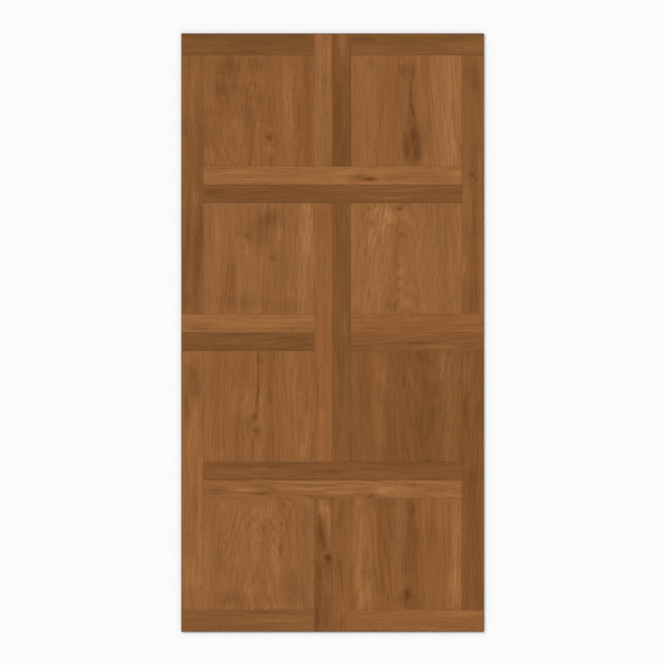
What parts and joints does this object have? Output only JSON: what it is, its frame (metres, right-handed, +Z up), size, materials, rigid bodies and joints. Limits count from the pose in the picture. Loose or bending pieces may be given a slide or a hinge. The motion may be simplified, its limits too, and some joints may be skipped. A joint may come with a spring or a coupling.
{
  "type": "wood-look floor tile",
  "caption": "Rectangular wood-look vinyl floor tile, cut square with bevelled edges, printed with a woven parquet of square fields framed by narrow strips.",
  "frame": {"origin": "centre of the underside, on the floor that the tile lies on", "axes": "+Z up through the printed face, +Y along the long side, +X along the short side"},
  "size_m": [0.455, 0.9, 0.005],
  "materials": {
    "wood_print_vinyl": "satin wood print with fine embossed grain and dark painted bevels"
  },
  "bodies": {
    "root": {"tile": "wood_print_vinyl"}
  },
  "joints": []
}
